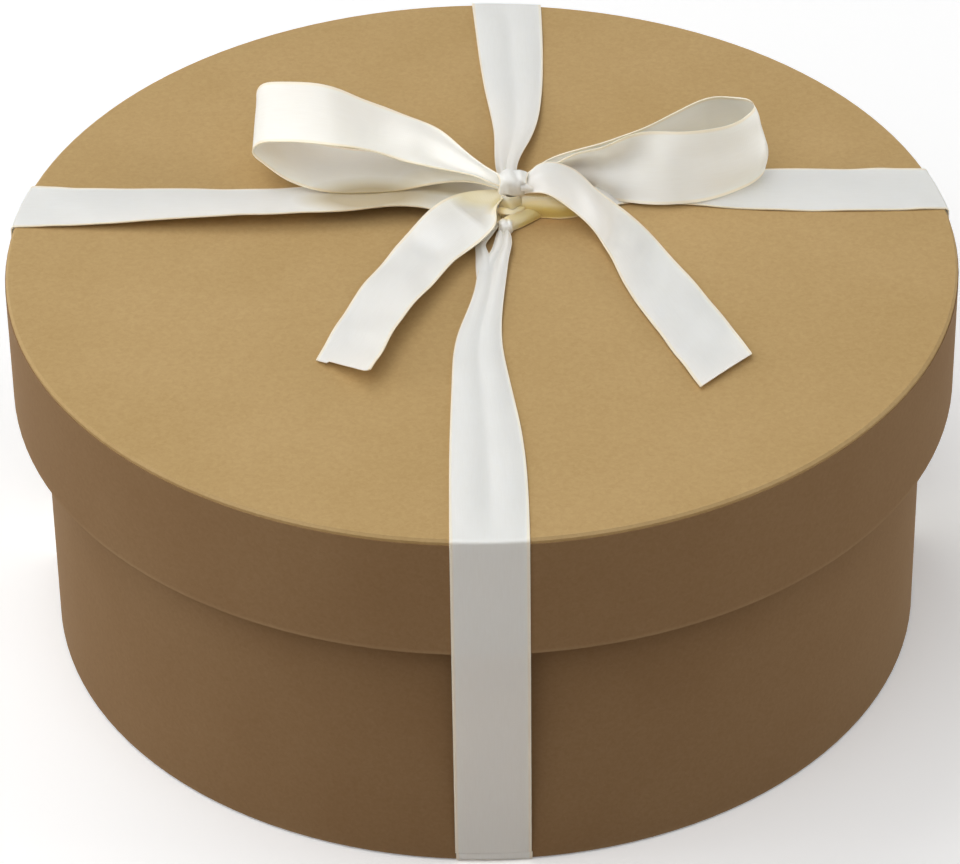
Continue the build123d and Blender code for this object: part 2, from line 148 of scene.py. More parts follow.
def kraft_paper(name, thick_colour, thin_colour, rubbed_edges=()):
    """Uncoated kraft paper. Rubbed edges are rings: radius, height (mm), how rubbed, 0 to 1."""
    material, tree, shader = new_material(name)
    place = add_node(tree, "ShaderNodeTexCoord").outputs["Object"]
    cloud = add_node(tree, "ShaderNodeTexNoise", None, {
        "Vector": place, "Scale": 1 / (CLOUD_MM * MM), "Detail": 3.0, "Roughness": 0.55,
    })
    felt = add_node(tree, "ShaderNodeTexNoise", None, {
        "Vector": place, "Scale": 1 / (FELT_MM * MM),
        "Detail": 4.0, "Roughness": 0.6, "Distortion": 0.6,
    })
    fibre = add_node(tree, "ShaderNodeTexNoise", {"noise_type": "RIDGED_MULTIFRACTAL"}, {
        "Vector": place, "Scale": 1 / (FIBRE_MM * MM),
        "Detail": 1.0, "Roughness": 0.4, "Distortion": 0.8,
    })
    tooth = add_node(tree, "ShaderNodeTexNoise", None, {
        "Vector": place, "Scale": 1 / (TOOTH_MM * MM), "Detail": 2.0,
    })
    # Clouds: thick and thin places in the sheet, a few parts in a hundred apart
    cloud_share = add_node(tree, "ShaderNodeMapRange", None, {
        "Value": cloud, "From Min": 0.3, "From Max": 0.7,
    })
    cloud_colour = add_node(tree, "ShaderNodeMix", {"data_type": "RGBA"}, {
        "Factor": cloud_share, "A": linear(thick_colour), "B": linear(thin_colour),
    })
    # Felt: the mesh of fibres, seen as a fine mottle
    felt_share = add_node(tree, "ShaderNodeMapRange", None, {
        "Value": felt, "From Min": 0.3, "From Max": 0.7,
    })
    felt_shade = add_node(tree, "ShaderNodeMix", {"data_type": "RGBA"}, {
        "Factor": felt_share, "A": linear("#f3efe8"), "B": linear("#ffffff"),
    })
    felt_colour = add_node(tree, "ShaderNodeMix", {"data_type": "RGBA", "blend_type": "MULTIPLY"}, {
        "Factor": 1.0, "A": cloud_colour, "B": felt_shade,
    })
    # Single fibres: only the crests of the ridged noise
    fibre_share = add_node(tree, "ShaderNodeMapRange", None, {
        "Value": fibre, "From Min": 1.42, "From Max": 1.7, "To Max": 0.22,
    })
    colour = add_node(tree, "ShaderNodeMix", {"data_type": "RGBA"}, {
        "Factor": fibre_share, "A": felt_colour, "B": linear("#93774a"),
    })
    # Rubbed edges: near each ring where the paper is folded, broken up by the clouds
    for radius, height, rub in rubbed_edges:
        parts = add_node(tree, "ShaderNodeSeparateXYZ", None, {"Vector": place}).outputs
        flat = add_node(tree, "ShaderNodeCombineXYZ", None, {"X": parts["X"], "Y": parts["Y"]})
        reach = add_node(tree, "ShaderNodeVectorMath", {"operation": "LENGTH"}, {0: flat})
        section = add_node(tree, "ShaderNodeCombineXYZ", None, {"X": reach, "Y": parts["Z"]})
        gap = add_node(tree, "ShaderNodeVectorMath", {"operation": "DISTANCE"}, {
            0: section, 1: (radius * MM, height * MM, 0),
        })
        near = add_node(tree, "ShaderNodeMapRange", None, {
            "Value": gap,
            "From Min": RUB_REACH_MM * MM, "From Max": RUB_CORE_MM * MM, "To Max": rub,
        })
        patchy = add_node(tree, "ShaderNodeMapRange", None, {
            "Value": cloud, "From Min": 0.35, "From Max": 0.6, "To Min": 0.45,
        })
        worn = add_node(tree, "ShaderNodeMath", {"operation": "MULTIPLY"}, {0: near, 1: patchy})
        colour = add_node(tree, "ShaderNodeMix", {"data_type": "RGBA"}, {
            "Factor": worn, "A": colour, "B": linear("#d2bb92"),
        })
    rough = add_node(tree, "ShaderNodeMapRange", None, {
        "Value": felt, "To Min": 0.78, "To Max": 0.92,
    })
    felt_bump = add_node(tree, "ShaderNodeBump", None, {
        "Height": felt, "Distance": 0.05 * MM, "Strength": 0.5,
    })
    bump = add_node(tree, "ShaderNodeBump", None, {
        "Height": tooth, "Distance": 0.03 * MM, "Strength": 0.5, "Normal": felt_bump,
    })
    set_inputs(tree, shader, {
        "Base Color": colour, "Roughness": rough, "Normal": bump,
        "IOR": 1.47, "Specular IOR Level": 0.35,
    })
    return material


print("paper felt is drawn", FELT_MM, "mm across")

# %% [markdown]
# ## Grey board and lining paper
# Under the kraft paper the box is grey board, pressed from waste paper: dull, soft-looking,
# full of dark and light specks. Inside, the box is lined with a plain off-white paper. Both
# are matte, so each is one shader with specks or a faint mottle and a little tooth.

# %% Grey board and lining paper
SPECK_MM = 0.9


def mottled_sheet(name, grain_mm, grain_roughness, tones, roughness, specular, tooth_mm, tooth):
    """A matte sheet with a mottle between two tones, each a height of the noise and a colour."""
    material, tree, shader = new_material(name)
    place = add_node(tree, "ShaderNodeTexCoord").outputs["Object"]
    mottle = add_node(tree, "ShaderNodeTexNoise", None, {
        "Vector": place, "Scale": 1 / (grain_mm * MM), "Detail": 5.0, "Roughness": grain_roughness,
    })
    ramp = add_node(tree, "ShaderNodeValToRGB", None, {"Fac": mottle})
    for stop, (height, colour) in zip(ramp.color_ramp.elements, tones):
        stop.position = height
        stop.color = linear(colour)
    bump = add_node(tree, "ShaderNodeBump", None, {
        "Height": mottle, "Distance": tooth_mm * MM, "Strength": tooth,
    })
    set_inputs(tree, shader, {
        "Base Color": ramp, "Normal": bump,
        "Roughness": roughness, "Specular IOR Level": specular,
    })
    return material


print("board specks are", SPECK_MM, "mm across")

# %% [markdown]
# ## Dress the box
# Each solid keeps its own object, so a material only has to be put in its slot. The papers
# that are folded over an edge get that edge's ring, and the papers inside share one lining.
# The sides stand in more shade than the lamps here give them, so that shade is painted in:
# the paper round the sides is mixed from darker, browner colours than the lid's top.

# %% Put the papers and boards on
# Folded edges: radius, height (mm) and how rubbed. The base's top edge slides in the lid,
# so it is worn the most, and the foot the least.
top_edge = (lid_radius, lid_top, 0.25)
rim_edge = (lid_radius, rim_bottom, 0.12)
base_edge = (base_radius, base_top, 0.5)
foot_edge = (base_radius, node_box("base_wrap_paper")[0][2], 0.08)
top_colours = ("#be9f6b", "#c4a572")
# Painted shade: the sides' paper gets darker, browner copies of the lid's colours
shaded_side_colours = ("#927451", "#987b58")

finishes = {
    "lid_top_paper": kraft_paper("kraft_paper_lid_top", *top_colours, [top_edge]),
    "lid_rim_wrap": kraft_paper("kraft_paper_rim_painted_shade", *shaded_side_colours, [rim_edge]),
    "base_wrap_paper": kraft_paper("kraft_paper_wall_painted_shade", *shaded_side_colours, [base_edge, foot_edge]),
    "base_underside_paper": kraft_paper("kraft_paper_underside_painted_shade", *shaded_side_colours),
}
# Grey board is recycled fibre with specks of old print
grey_board = mottled_sheet(
    "grey_board", SPECK_MM, 0.75, ((0.28, "#5f5952"), (0.62, "#a59c90")),
    roughness=0.9, specular=0.3, tooth_mm=0.08, tooth=0.6,
)
# Lining is uncoated off-white paper with a faint mottle
lining_paper = mottled_sheet(
    "lining_paper", FELT_MM, 0.7, ((0.25, "#d8d0c0"), (0.75, "#e9e3d6")),
    roughness=0.85, specular=0.35, tooth_mm=0.04, tooth=0.5,
)
for name in ("base_wall_board", "base_floor_board", "lid_top_board", "lid_rim_board"):
    finishes[name] = grey_board
for name in ("base_wall_lining", "base_floor_lining", "lid_rim_lining", "lid_top_lining"):
    finishes[name] = lining_paper

for name, material in finishes.items():
    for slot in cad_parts[name].material_slots:
        slot.material = material
print("dressed", len(finishes), "solids")

# %% [markdown]
# ## Satin ribbon
# Satin is woven so that most of the warp threads float on top, side by side along the
# ribbon's length. The floats catch light together, which gives the soft broad glow, and the
# weft shows only as very fine ribs across. The woven edge, the selvedge, is denser and a
# little brighter. Two attributes of the mesh carry the cloth's own measure, how far along
# and how far across each point lies, so the weave follows every bend and pleat.
# Real threads are about a tenth of a millimetre apart, too fine to show at this distance,
# so the ribs are drawn wider and very faint.
# Smooth floats throw back more light than one flat sheet of polyester, so the IOR starts
# from polyester's 1.6 and is raised until the upright parts of the bow are bright enough.
# Where ribbon is tucked under ribbon it lies in shade, and the light that reaches it has bounced
# between satin and kraft paper and turned golden. That golden shade is painted into the colour:
# the places are few, so each is listed as a soft ellipsoid of painted shade.

# %% Satin
RIBBON_MM = 25.0
WEFT_MM = 0.7
WARP_MM = 0.45
SELVEDGE_MM = 1.3
SLUB_STRETCH = 0.06
PAINTED_SHADE_CORE_SHARE = 0.55
# Blender's wave texture turns through 20 radians in each unit of its vector
WAVE_RADIANS = 20

# Painted golden shade where ribbon is tucked under ribbon: middle and reach each way (mm), and the
# shade colour painted there
painted_shade_places = (
    ((-38.0, 25.0, 143.0), (27.0, 15.0, 6.5), "#a58e50"),
    ((-10.0, 37.0, 142.0), (22.0, 9.0, 6.0), "#c0ad74"),
    ((1.0, 24.0, 147.0), (13.0, 9.0, 3.6), "#dfd0a0"),
    ((20.0, 17.5, 141.5), (20.0, 10.0, 10.5), "#ffd36f"),
    ((10.0, 14.5, 146.0), (7.0, 5.0, 5.5), "#ffd88c"),
)


def satin_ribbon():
    """Cream polyester satin with a woven edge, and golden shade painted where ribbon is tucked
    under ribbon.
    """
    material, tree, shader = new_material("cream_satin")
    place = add_node(tree, "ShaderNodeTexCoord").outputs["Object"]
    along = add_node(tree, "ShaderNodeAttribute", {"attribute_name": "along"}).outputs["Fac"]
    across = add_node(tree, "ShaderNodeAttribute", {"attribute_name": "across"}).outputs["Fac"]
    cloth = add_node(tree, "ShaderNodeCombineXYZ", None, {"X": along, "Y": across})
    # Slubs: single warp threads a little lighter or darker than their neighbours
    drawn_out = add_node(tree, "ShaderNodeVectorMath", {"operation": "MULTIPLY"}, {
        0: cloth, 1: (SLUB_STRETCH, 1.0, 1.0),
    })
    slub = add_node(tree, "ShaderNodeTexNoise", None, {
        "Vector": drawn_out, "Scale": 1 / (WARP_MM * MM), "Detail": 2.0,
    })
    slub_colour = add_node(tree, "ShaderNodeMix", {"data_type": "RGBA"}, {
        "Factor": slub, "A": linear("#f6f0de"), "B": linear("#fdf9ea"),
    })
    # Selvedge: how near the thread is to either woven edge
    middle_gap = add_node(tree, "ShaderNodeMath", {"operation": "SUBTRACT"}, {
        0: across, 1: RIBBON_MM / 2 * MM,
    })
    edge_gap = add_node(tree, "ShaderNodeMath", {"operation": "ABSOLUTE"}, {0: middle_gap})
    selvedge = add_node(tree, "ShaderNodeMapRange", None, {
        "Value": edge_gap,
        "From Min": (RIBBON_MM / 2 - SELVEDGE_MM) * MM,
        "From Max": (RIBBON_MM / 2 - SELVEDGE_MM / 2) * MM,
    })
    colour = add_node(tree, "ShaderNodeMix", {"data_type": "RGBA"}, {
        "Factor": selvedge, "A": slub_colour, "B": linear("#fbe6c5"),
    })
    # Painted shade: the golden shade colour of each tucked place fades out from the core of its
    # soft ellipsoid
    for middle, reach, painted_shade_colour in painted_shade_places:
        offset = add_node(tree, "ShaderNodeVectorMath", {"operation": "SUBTRACT"}, {
            0: place, 1: [value * MM for value in middle],
        })
        scaled = add_node(tree, "ShaderNodeVectorMath", {"operation": "DIVIDE"}, {
            0: offset, 1: [value * MM for value in reach],
        })
        gap = add_node(tree, "ShaderNodeVectorMath", {"operation": "LENGTH"}, {0: scaled})
        tucked = add_node(tree, "ShaderNodeMapRange", None, {
            "Value": gap, "From Min": 1.0, "From Max": PAINTED_SHADE_CORE_SHARE,
        })
        colour = add_node(tree, "ShaderNodeMix", {"data_type": "RGBA"}, {
            "Factor": tucked, "A": colour, "B": linear(painted_shade_colour),
        })
    # Weft ribs across the ribbon, and the warp floats along it
    rib = add_node(tree, "ShaderNodeTexWave", {"wave_type": "BANDS", "bands_direction": "X"}, {
        "Vector": cloth, "Scale": 2 * pi / WAVE_RADIANS / (WEFT_MM * MM),
        "Distortion": 1.2, "Detail": 1.0, "Detail Scale": 0.4,
    })
    rib_bump = add_node(tree, "ShaderNodeBump", None, {
        "Height": rib.outputs["Fac"], "Distance": 0.02 * MM, "Strength": 0.35,
    })
    bump = add_node(tree, "ShaderNodeBump", None, {
        "Height": slub, "Distance": 0.03 * MM, "Strength": 0.4, "Normal": rib_bump,
    })
    rough = add_node(tree, "ShaderNodeMapRange", None, {
        "Value": slub, "To Min": 0.46, "To Max": 0.58,
    })
    set_inputs(tree, shader, {
        "Base Color": colour, "Normal": bump, "Roughness": rough,
        "IOR": 1.95, "Specular IOR Level": 1.0, "Sheen Weight": 0.25, "Sheen Roughness": 0.5,
        # Thin cloth lets light through: it travels about a millimetre inside, red the farthest
        "Subsurface Weight": 0.85,
        "Subsurface Radius": (1.0, 0.95, 0.85),
        "Subsurface Scale": 1.2 * MM,
    })
    return material


cream_satin = satin_ribbon()
print("satin ribs are drawn", WEFT_MM, "mm apart")

# %% [markdown]
# ## How a ribbon bends
# A ribbon bends easily along its length but hardly stretches, so its shape is told well by
# its two edges: a smooth curve for each. A natural cubic is the curve that a thin springy
# strip takes when it is held at a few points, which is why it suits a ribbon's edge.

# %% Smooth curve through a few places
# Threads across the ribbon, in shares of its width, and closer together in the selvedges
ACROSS = 33
thread_shares = np.concatenate((
    [0, 0.012], np.linspace(0.035, 0.965, ACROSS - 4), [0.988, 1],
))


def smooth_curve(points, places):
    """Points on a natural cubic through the given ones, at places from 0 to 1 along it."""
    points = np.array(points, float)
    steps = np.linalg.norm(np.diff(points, axis=0), axis=1)
    knots = np.concatenate(([0], np.cumsum(steps))) / steps.sum()
    gaps = np.diff(knots)
    slopes = np.diff(points, axis=0) / gaps[:, None]
    matrix = np.eye(len(points))
    bends = np.zeros_like(points)
    for row in range(1, len(points) - 1):
        matrix[row, row - 1:row + 2] = gaps[row - 1], 2 * (gaps[row - 1] + gaps[row]), gaps[row]
        bends[row] = 6 * (slopes[row] - slopes[row - 1])
    bends = np.linalg.solve(matrix, bends)
    span = np.clip(np.searchsorted(knots, places, side="right") - 1, 0, len(gaps) - 1)
    gap = gaps[span][:, None]
    before = (knots[span + 1] - places)[:, None] / gap
    after = 1 - before
    straight = before * points[span] + after * points[span + 1]
    curved = (before ** 3 - before) * bends[span] + (after ** 3 - after) * bends[span + 1]
    return straight + curved * gap ** 2 / 6


print("threads in a cut:", len(thread_shares))

# %% [markdown]
# ## Where the spare cloth goes
# Where the two edges come closer than the ribbon is wide, as they do towards the knot, the
# spare cloth has to go somewhere. In the air it folds to both sides, and a meandering line
# draws that well, because it keeps its length while its ends draw together. On the lid it
# can only rise, so there it stands up in a few rounded folds, and a faint crease of each
# fold runs on along the ribbon where it lies at its full width.

# %% Cuts across a gathered ribbon
LEAST_DRAWN_SHARE = 0.02
FOLD_RISE_POWER = 2.3
LEAST_RISE_MM = 0.5
FOLD_LEAN = 0.3
STRAND_CROWN_SHARE = 0.16


def free_cut(width, arch, pleats, turn, fullness):
    """A cut across ribbon in the air: how far across and how far out each thread is.

    Arch is the share of the bend that goes into one bow, the rest goes into the pleats. Turn
    shifts the pleats across the ribbon, and fullness is how much spare cloth is kept.
    """
    drawn_share = np.clip(width / RIBBON_MM, LEAST_DRAWN_SHARE, 1)
    # How far a meander swings to draw its ends together to that share of its length
    swing = sqrt(8 * (1 - sqrt(drawn_share))) * fullness
    heading = swing * (arch * np.cos(pi * thread_shares)
                       + (1 - abs(arch)) * np.sin(2 * pi * pleats * thread_shares + turn))
    steps = np.diff(thread_shares)
    middle = (heading[1:] + heading[:-1]) / 2
    x = np.concatenate(([0], np.cumsum(np.cos(middle) * steps)))
    y = np.concatenate(([0], np.cumsum(np.sin(middle) * steps)))
    chord = np.hypot(x[-1], y[-1])
    x, y = (x * x[-1] + y * y[-1]) / chord, (y * x[-1] - x * y[-1]) / chord
    return x / chord * width, y / chord * width


def lying_cut(width, folds, rise_share):
    """A cut across ribbon on the lid: its folds only stand up from it."""
    rise = rise_share * RIBBON_MM * max(1 - width / RIBBON_MM, 0) ** FOLD_RISE_POWER / folds
    rise = max(rise, LEAST_RISE_MM)
    wave = pi * folds * thread_shares
    x = thread_shares - FOLD_LEAN * np.sin(2 * wave) / (2 * pi * folds)
    return x * width, rise * np.sin(wave) ** 2


def strand_cut(width):
    """A cut across a narrow strand, simply rounded."""
    crown = STRAND_CROWN_SHARE * width * 4 * thread_shares * (1 - thread_shares)
    return thread_shares * width, crown


print("a 6 mm wide cut with two folds rises", round(lying_cut(6, 2, 0.2)[1].max(), 2), "mm")

# %% [markdown]
# ## Rows of threads
# A cut is placed at each step along the ribbon, square to the line between its two edges.
# Real ribbon also crumples slightly and bows where nothing draws it in, so a little noise
# and a crown are added. Both are seeded or fixed, so the ribbon is the same each time.

# %% Rows across a ribbon
CRUMPLE_MM = 0.75
LYING_CRUMPLE_MM = 0.45
CRUMPLE_LENGTH_MM = 15.0
CRUMPLES_ACROSS = 2.0
LYING_LIFT_SHARE = 0.6
SEED_STEP = 7.3
END_FADE_MM = 12.0


def ribbon_rows(edge_pairs, samples, cut, crowns=(), seed=0, lying=False):
    """Rows of points across a ribbon, from the places that its two edges pass through.

    Each crown bows the ribbon outward: its height, where along the ribbon it stands and how
    far it spreads, both in shares of the ribbon's length.
    """
    places = np.linspace(0, 1, samples)
    one = smooth_curve([pair[0] for pair in edge_pairs], places)
    other = smooth_curve([pair[1] for pair in edge_pairs], places)
    across = other - one
    width = np.linalg.norm(across, axis=1)
    across = across / width[:, None]
    middle = (one + other) / 2
    outward = np.cross(np.gradient(middle, axis=0), across)
    outward /= np.linalg.norm(outward, axis=1)[:, None]
    if lying and outward[:, 2].mean() < 0:
        outward = -outward
    run = np.concatenate(([0], np.cumsum(np.linalg.norm(np.diff(middle, axis=0), axis=1))))
    rows = []
    for index in range(samples):
        x, y = cut(width[index])
        crown = sum(
            height * np.exp(-((places[index] - place) / spread) ** 2)
            for height, place, spread in crowns
        )
        y = y + crown * 4 * thread_shares * (1 - thread_shares)
        length = run[index] / CRUMPLE_LENGTH_MM
        crumple = np.array([
            noise.noise(Vector((length, share * CRUMPLES_ACROSS, seed * SEED_STEP)))
            for share in thread_shares
        ])
        # Lying ribbon crumples mostly upward, and no crumple moves an end of the ribbon
        fade = min(run[index], run[-1] - run[index], END_FADE_MM) / END_FADE_MM
        if lying:
            y = y + LYING_CRUMPLE_MM * (crumple + LYING_LIFT_SHARE) * fade
        else:
            y = y + CRUMPLE_MM * crumple * fade
        rows.append(one[index] + across[index] * x[:, None] + outward[index] * y[:, None])
    return np.array(rows)


print("crumple is at most about", CRUMPLE_MM, "mm")

# %% [markdown]
# ## From rows to cloth with two faces
# Rows of points are a sheet without thickness, which would vanish when seen edge-on. The
# ribbon is therefore given an upper and a lower face, a hair apart, and a slightly thicker
# selvedge down both sides, so that the edges catch a thin line of light as real ones do.

# %% Faces of one sheet
CLOTH_MM = 0.26
BEAD_MM = 0.16


def cloth_faces(rows, ring, thickness):
    """Points, faces and each point's place along the cloth, for a closed skin round the rows."""
    rows = np.array(rows, float)
    count, threads = rows.shape[:2]
    if ring:
        looped = np.concatenate((rows[-1:], rows, rows[:1]))
        ahead = (looped[2:] - looped[:-2]) / 2
    else:
        ahead = np.gradient(rows, axis=0)
    outward = np.cross(ahead, np.gradient(rows, axis=1))
    outward /= np.maximum(np.linalg.norm(outward, axis=2), 1e-9)[:, :, None]
    edge_gap = np.minimum(thread_shares, 1 - thread_shares) * RIBBON_MM
    bead = BEAD_MM * np.clip(1 - edge_gap / SELVEDGE_MM, 0, 1) ** 0.5
    half = (thickness + bead * thickness / CLOTH_MM)[None, :, None] / 2
    points = np.concatenate((rows + outward * half, rows - outward * half)).reshape(-1, 3)
    below = count * threads
    faces = []
    for i in range(count if ring else count - 1):
        here, there = i * threads, (i + 1) % count * threads
        for k in range(threads - 1):
            a, b, c, d = here + k, there + k, there + k + 1, here + k + 1
            faces += [(a, b, c, d), (below + d, below + c, below + b, below + a)]
        last = threads - 1
        faces.append((here, below + here, below + there, there))
        faces.append((there + last, below + there + last, below + here + last, here + last))
    if not ring:
        for k in range(threads - 1):
            end = (count - 1) * threads + k
            faces.append((k, k + 1, below + k + 1, below + k))
            faces.append((end, below + end, below + end + 1, end + 1))
    middle = rows[:, threads // 2]
    run = np.concatenate(([0], np.cumsum(np.linalg.norm(np.diff(middle, axis=0), axis=1))))
    return points, faces, np.tile(np.repeat(run, threads), 2), run[-1]


print(f"cloth is {CLOTH_MM} mm thick, its selvedge {CLOTH_MM + BEAD_MM:.2f} mm")

# %% [markdown]
# Each ribbon piece is made from one or more such sheets. It rides on the base or the lid,
# and takes the place of the plain solids of the same stretch.

# %% One piece of ribbon
SHARP_DEGREES = 60


def ribbon_piece(
    name, sheets, nodes, body="lid", rings=(), thickness=CLOTH_MM,
):
    """Makes a piece of ribbon from its sheets of rows and puts it on its body.

    Nodes are the solids that it stands for, and the sheets whose numbers are in rings are closed
    into a ring.
    """
    points, faces, along = [], [], []
    for place, rows in enumerate(sheets):
        skin, skin_faces, run, length = cloth_faces(rows, place in rings, thickness)
        offset = sum(len(part) for part in points)
        points.append(skin)
        along.append(run)
        faces += [tuple(corner + offset for corner in face) for face in skin_faces]
    points, along = np.concatenate(points), np.concatenate(along)
    mesh = bpy.data.meshes.new(name)
    mesh.from_pydata((points * MM).tolist(), [], faces)
    across = np.tile(thread_shares * RIBBON_MM, len(points) // len(thread_shares))
    for label, values in (("along", along), ("across", across)):
        attribute = mesh.attributes.new(label, "FLOAT", "POINT")
        attribute.data.foreach_set("value", (values * MM).astype(np.float32))
    mesh.validate()
    mesh.shade_smooth()
    mesh.set_sharp_from_angle(angle=radians(SHARP_DEGREES))
    mesh.materials.append(cream_satin)
    piece = bpy.data.objects.new(name, mesh)
    scene.collection.objects.link(piece)
    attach(piece, body)
    if nodes:
        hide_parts(*nodes)
    print(f"{name}: {len(faces)} faces, last sheet {length:.0f} mm long")


# %% [markdown]
# ## The bow's loops
# The left loop lies over like a tunnel whose mouth faces the front, and the right loop
# stands on its edge. Each table gives the places that the two edges of the ribbon pass
# through: first where it leaves the knot, in shares of the knot's size, and then over the
# lid, in shares of the loop's reach, the ribbon's width and the bow's height. The places
# were read off the photographed bow, and lie close to those of the plain solid.

# %% Sizes of the bow
knot_low, knot_high = node_box("bow_knot")
knot_size = knot_high - knot_low
knot_middle = (knot_low + knot_high) / 2
knot_foot = np.array([knot_middle[0], knot_middle[1], lid_top])
BOW_HEIGHT = 28.0
LEFT_LOOP_REACH = 89.6
RIGHT_LOOP_REACH = 86.0
LOOP_ROWS = 150
TAIL_ROWS = 90


def bow_pairs(root_shares, shares, x_size, y_size):
    """The ribbon's two edges, from where it leaves the knot, and back to it in a loop."""
    size = np.array([x_size, y_size, BOW_HEIGHT])
    roots = [[knot_middle + np.array(share) * knot_size for share in pair] for pair in root_shares]
    pairs = [[knot_foot + np.array(share) * size for share in pair] for pair in shares]
    return roots[:1] + pairs + roots[1:]


print("knot", knot_size.round(1), "at", knot_middle.round(1))

# %% Left loop
left_loop_root_shares = (
    ((-0.29, -0.25, 0.155), (-0.29, 0.29, 0.3)),
    ((-0.29, -0.25, -0.045), (-0.29, 0.29, 0.0)),
)
left_loop_shares = (
    ((-0.084, -0.1, 0.52), (-0.1, 0.26, 0.54)),
    ((-0.14, -0.02, 0.575), (-0.167, 0.54, 0.575)),
    ((-0.26, 0.2, 0.54), (-0.26, 0.99, 0.63)),
    ((-0.41, 0.42, 0.55), (-0.41, 1.42, 0.64)),
    ((-0.57, 0.52, 0.67), (-0.57, 1.5, 0.84)),
    ((-0.68, 0.54, 0.71), (-0.66, 1.48, 1.0)),
    ((-0.8, 0.62, 0.72), (-0.78, 1.54, 1.06)),
    ((-0.9, 0.69, 0.69), (-0.9, 1.61, 1.04)),
    ((-0.97, 0.76, 0.61), (-0.96, 1.7, 0.93)),
    ((-0.99, 0.78, 0.5), (-0.975, 1.72, 0.76)),
    ((-0.95, 0.74, 0.36), (-0.95, 1.7, 0.57)),
    ((-0.88, 0.6, 0.25), (-0.88, 1.58, 0.41)),
    ((-0.8, 0.47, 0.18), (-0.79, 1.46, 0.29)),
    ((-0.69, 0.37, 0.15), (-0.68, 1.36, 0.23)),
    ((-0.57, 0.31, 0.15), (-0.56, 1.31, 0.2)),
    ((-0.46, 0.33, 0.165), (-0.45, 1.33, 0.19)),
    ((-0.34, 0.38, 0.21), (-0.33, 1.24, 0.23)),
    ((-0.17, 0.24, 0.33), (-0.16, 0.8, 0.34)),
)
left_loop_pairs = bow_pairs(
    left_loop_root_shares, left_loop_shares, LEFT_LOOP_REACH, RIBBON_MM,
)
ribbon_piece(
    "satin_left_loop",
    [ribbon_rows(
        left_loop_pairs, LOOP_ROWS,
        partial(free_cut, arch=0.35, pleats=1.5, turn=0.4, fullness=0.38),
        crowns=[(-1.8, 0.2, 0.035), (1.8, 0.27, 0.035)], seed=1,
    )],
    ["bow_left_loop"],
)

# %% Right loop
right_loop_root_shares = (
    ((0.29, -0.025, -0.13), (0.29, 0.025, 0.27)),
    ((0.29, 0.225, -0.13), (0.29, 0.24, 0.25)),
)
right_loop_shares = (
    ((0.105, 0.16, 0.29), (0.105, 0.23, 0.49)),
    ((0.19, 0.36, 0.14), (0.19, 0.39, 0.54)),
    ((0.27, 0.4, 0.07), (0.265, 0.44, 0.635)),
    ((0.35, 0.31, 0.05), (0.345, 0.42, 0.71)),
    ((0.43, 0.2, 0.05), (0.43, 0.5, 0.785)),
    ((0.51, 0.12, 0.055), (0.51, 0.585, 0.82)),
    ((0.66, 0.11, 0.055), (0.66, 0.6, 0.815)),
    ((0.78, 0.2, 0.055), (0.775, 0.63, 0.825)),
    ((0.9, 0.42, 0.07), (0.88, 0.75, 0.84)),
    ((0.97, 0.61, 0.1), (0.935, 0.9, 0.875)),
    ((1.0, 0.79, 0.13), (0.96, 1.02, 0.935)),
    ((0.98, 0.96, 0.125), (0.945, 1.03, 1.0)),
    ((0.92, 1.06, 0.11), (0.9, 1.11, 1.0)),
    ((0.82, 1.09, 0.1), (0.81, 1.15, 1.0)),
    ((0.73, 1.04, 0.09), (0.73, 1.09, 0.955)),
    ((0.64, 0.96, 0.07), (0.645, 0.94, 0.885)),
    ((0.51, 0.82, 0.055), (0.52, 0.7, 0.82)),
    ((0.38, 0.7, 0.055), (0.39, 0.52, 0.74)),
    ((0.27, 0.65, 0.11), (0.27, 0.48, 0.65)),
    ((0.15, 0.55, 0.21), (0.15, 0.47, 0.54)),
)
right_loop_pairs = bow_pairs(
    right_loop_root_shares, right_loop_shares, RIGHT_LOOP_REACH, RIBBON_MM,
)
ribbon_piece(
    "satin_right_loop",
    [ribbon_rows(
        right_loop_pairs, LOOP_ROWS,
        partial(free_cut, arch=-0.35, pleats=1.5, turn=0.4, fullness=0.4),
        crowns=[(3.2, 0.52, 0.09), (-1.0, 0.24, 0.03), (0.8, 0.31, 0.03)], seed=2,
    )],
    ["bow_right_loop"],
)

# %% [markdown]
# ## The tails
# The tails spill out of the knot to the front. Each has its spare cloth folded in near the
# knot, opens out within a few centimetres and lies with one edge on the lid and the other a
# little above it, cut across at the end.

# %% Left tail
LEFT_TAIL_REACH = 101.0
LEFT_TAIL_SWING = 65.0
# The scissors left one corner a millimetre long, and the other is rounded by wear
LONG_CORNER_MM = 1.1
LONG_CORNER_FROM = 0.77
ROUND_CORNER_MM = 1.6
ROUND_CORNER_SHARE = 0.12
SNIP_ROWS = 4
left_tail_root_shares = (((-0.29, -0.31, -0.245), (-0.29, 0.25, -0.27)),)
left_tail_shares = (
    ((-0.09, -0.08, 0.285), (-0.185, 0.035, 0.27)),
    ((-0.09, -0.135, 0.235), (-0.33, 0.02, 0.215)),
    ((-0.135, -0.2, 0.195), (-0.43, -0.035, 0.17)),
    ((-0.23, -0.28, 0.185), (-0.55, -0.145, 0.105)),
    ((-0.425, -0.495, 0.215), (-0.72, -0.355, 0.05)),
    ((-0.585, -0.72, 0.25), (-0.88, -0.59, 0.03)),
    ((-0.665, -0.87, 0.26), (-0.95, -0.73, 0.025)),
    ((-0.735, -1.0, 0.26), (-1.0, -0.83, 0.025)),
)
left_tail_pairs = bow_pairs(
    left_tail_root_shares, left_tail_shares, LEFT_TAIL_SWING, LEFT_TAIL_REACH,
)
left_tail_rows = ribbon_rows(
    left_tail_pairs, TAIL_ROWS, partial(free_cut, arch=0.5, pleats=1.0, turn=0.0, fullness=0.45),
    crowns=[(1.0, 0.36, 0.05), (-1.0, 0.56, 0.08)], seed=3,
)
ahead = left_tail_rows[-1] - left_tail_rows[-2]
ahead /= np.linalg.norm(ahead, axis=1)[:, None]
long_corner = LONG_CORNER_MM * (thread_shares > LONG_CORNER_FROM)
